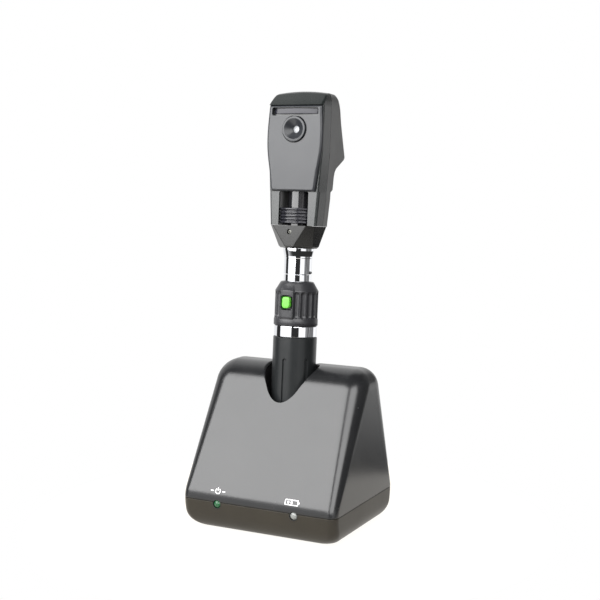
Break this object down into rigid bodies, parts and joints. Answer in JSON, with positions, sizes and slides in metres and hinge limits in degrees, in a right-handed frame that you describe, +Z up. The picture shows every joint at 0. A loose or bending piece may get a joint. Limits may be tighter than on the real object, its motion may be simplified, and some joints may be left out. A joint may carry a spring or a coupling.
{
  "type": "ophthalmoscope",
  "caption": "Hand-held streak retinoscope head on a rechargeable battery handle, standing in a wedge-shaped desk charging stand.",
  "frame": {"origin": "centre of the base, on the plane the rubber feet stand on", "axes": "+Z up, the front with the lights and the eyepiece faces -Y, +X to the viewer's right"},
  "size_m": [0.116, 0.0982, 0.2943],
  "materials": {
    "stand_black": "fine satin moulded texture",
    "tray_black": "fine satin moulded texture",
    "well_black": "matt black",
    "rubber": "matt",
    "screw_steel": "bright zinc",
    "led_green": "clear green epoxy",
    "led_clear": "frosted clear epoxy",
    "brass": "turned",
    "spring_steel": "drawn wire",
    "board_green": "solder mask",
    "handle_black": "satin black coating",
    "nylon": "natural nylon",
    "battery_blue": "shrink sleeve",
    "track_carbon": "carbon track on laminate",
    "chrome": "polished",
    "ring_black": "satin",
    "button_green": "bright green",
    "head_black": "fine satin moulded texture",
    "plate_grey": "satin grey",
    "glass": "polished",
    "mirror": "half-silvered"
  },
  "bodies": {
    "stand": {"stand_cover": "stand_black", "stand_tray": "tray_black", "well_liner": "well_black", "side_contact": "brass", "plunger_spring": "spring_steel", "charge_board": "board_green", "dc_socket": "well_black", "power_led": "led_green", "charge_led": "led_clear", "foot_1": "rubber", "foot_2": "rubber", "foot_3": "rubber", "foot_4": "rubber", "tray_screw_1": "screw_steel", "tray_screw_2": "screw_steel", "tray_screw_3": "screw_steel", "tray_screw_4": "screw_steel"},
    "contact_plunger": {"contact_plunger": "brass"},
    "handset": {"handle_tube": "handle_black", "battery_cell": "battery_blue", "trim_ring": "chrome", "rheostat_track": "track_carbon", "handle_socket": "chrome", "rod_insulator": "nylon", "contact_rod": "brass"},
    "end_cap": {"end_cap": "handle_black", "contact_insulator": "nylon", "end_contact": "brass", "battery_spring": "spring_steel"},
    "rheostat": {"rheostat_ring": "ring_black", "wiper": "brass", "button_spring": "spring_steel"},
    "lock_button": {"lock_button": "button_green"},
    "head": {"neck_tube": "chrome", "bayonet_pin": "well_black", "head_cone": "head_black", "neck_screw": "screw_steel", "front_shell": "head_black", "rear_shell": "head_black", "shell_screw_1": "screw_steel", "shell_screw_2": "screw_steel", "face_plate": "plate_grey", "card_bar": "plate_grey", "eyepiece_ring": "plate_grey", "eyepiece_glass": "glass", "mirror": "mirror", "mirror_mount": "well_black", "condenser_lens": "glass", "exit_window": "glass", "lamp_spring": "spring_steel"},
    "focus_slide": {"slide_collar": "nylon"},
    "streak_sleeve": {"slide_tube": "ring_black", "thumb_sleeve": "ring_black", "bulb_socket": "brass", "bulb": "glass"}
  },
  "joints": [
    {"name": "handset_lift", "type": "slide", "parent": "stand", "child": "handset", "axis": [0, 0.0785, 0.9969], "range_m": [0, 0.12]},
    {"name": "contact_press", "type": "slide", "parent": "stand", "child": "contact_plunger", "axis": [0, 0.0785, 0.9969], "range_m": [-0.0015, 0], "stiffness_N_per_m": 400, "deforming": ["plunger_spring"]},
    {"name": "end_cap_unscrew", "type": "hinge", "parent": "handset", "child": "end_cap", "pos_m": [0, 0.00033, 0.02193], "axis": [0, 0.0785, 0.9969], "range_deg": [0, 720]},
    {"name": "rheostat_turn", "type": "hinge", "parent": "handset", "child": "rheostat", "pos_m": [0, 0.01037, 0.14954], "axis": [0, 0.0785, 0.9969], "range_deg": [0, 120]},
    {"name": "lock_button_press", "type": "slide", "parent": "rheostat", "child": "lock_button", "axis": [0, 0.9969, -0.0785], "range_m": [0, 0.0015], "stiffness_N_per_m": 400, "deforming": ["button_spring"]},
    {"name": "head_twist", "type": "hinge", "parent": "handset", "child": "head", "pos_m": [0, 0.01225, 0.17346], "axis": [0, 0.0785, 0.9969], "range_deg": [0, 90]},
    {"name": "focus_travel", "type": "slide", "parent": "head", "child": "focus_slide", "axis": [0, 0.0785, 0.9969], "range_m": [0, 0.0105], "deforming": ["lamp_spring"]},
    {"name": "streak_turn", "type": "hinge", "parent": "focus_slide", "child": "streak_sleeve", "pos_m": [0, 0.01515, 0.21035], "axis": [0, 0.0785, 0.9969], "continuous": true}
  ]
}
